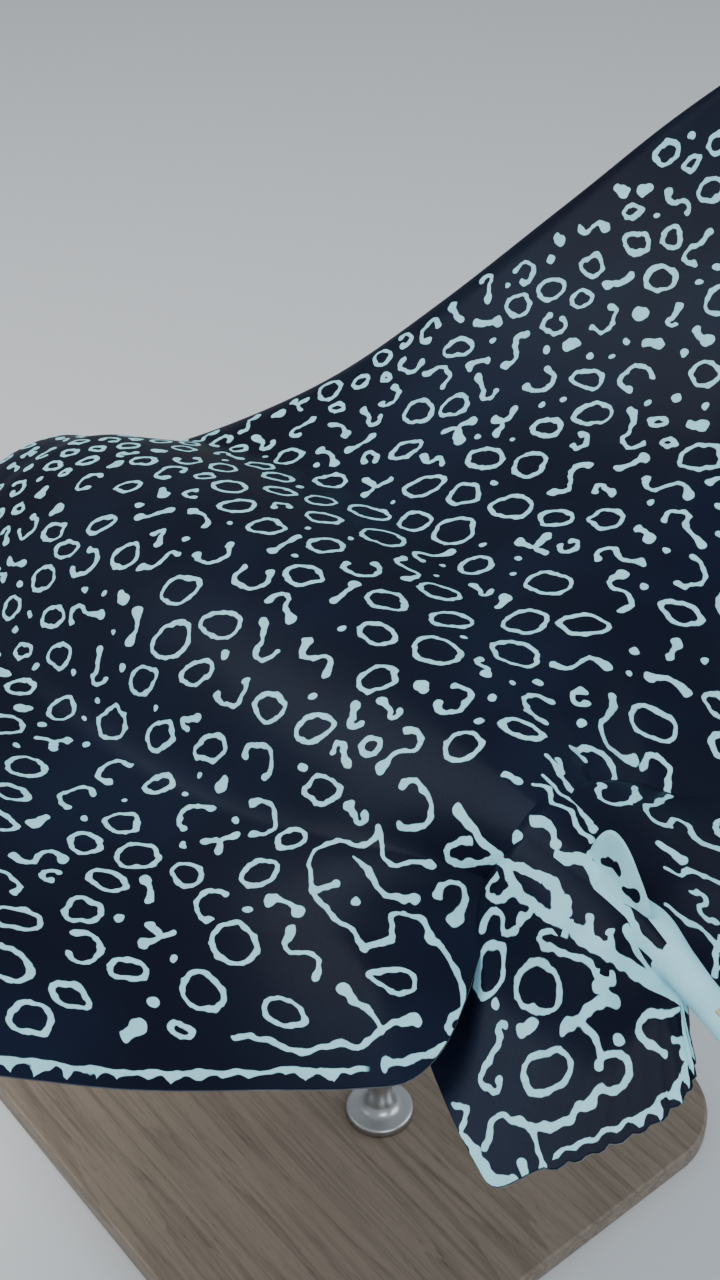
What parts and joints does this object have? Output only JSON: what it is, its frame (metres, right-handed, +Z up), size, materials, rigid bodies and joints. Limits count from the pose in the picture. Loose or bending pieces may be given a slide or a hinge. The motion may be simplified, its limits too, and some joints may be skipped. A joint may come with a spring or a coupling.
{
  "type": "spotted eagle ray",
  "caption": "Life-size still model of a swimming spotted eagle ray banking in a glide, with raised wings and a long whip tail, on a plain display stand.",
  "frame": {"origin": "centre of the underside of the stand's base, on the floor", "axes": "+Z up, -Y the way the animal swims (snout), +Y along the tail, +X the animal's left"},
  "size_m": [1.4342, 3.8854, 1.0431],
  "materials": {
    "skin": "satin wet skin, dark blue with pale rings and spots above, white below",
    "eye": "glossy",
    "spine": "satin, like tooth",
    "rod": "satin",
    "base": "painted, satin"
  },
  "bodies": {
    "root": {"snout": "skin", "head": "skin", "trunk": "skin", "wing_left": "skin", "wing_right": "skin", "pelvic_fin_left": "skin", "pelvic_fin_right": "skin", "dorsal_fin": "skin", "tail_1": "skin", "tail_2": "skin", "tail_3": "skin", "tail_4": "skin", "eye_left": "eye", "eye_right": "eye", "sting": "spine", "stand_base": "base", "stand_rod_front": "rod", "stand_rod_rear": "rod"}
  },
  "joints": []
}
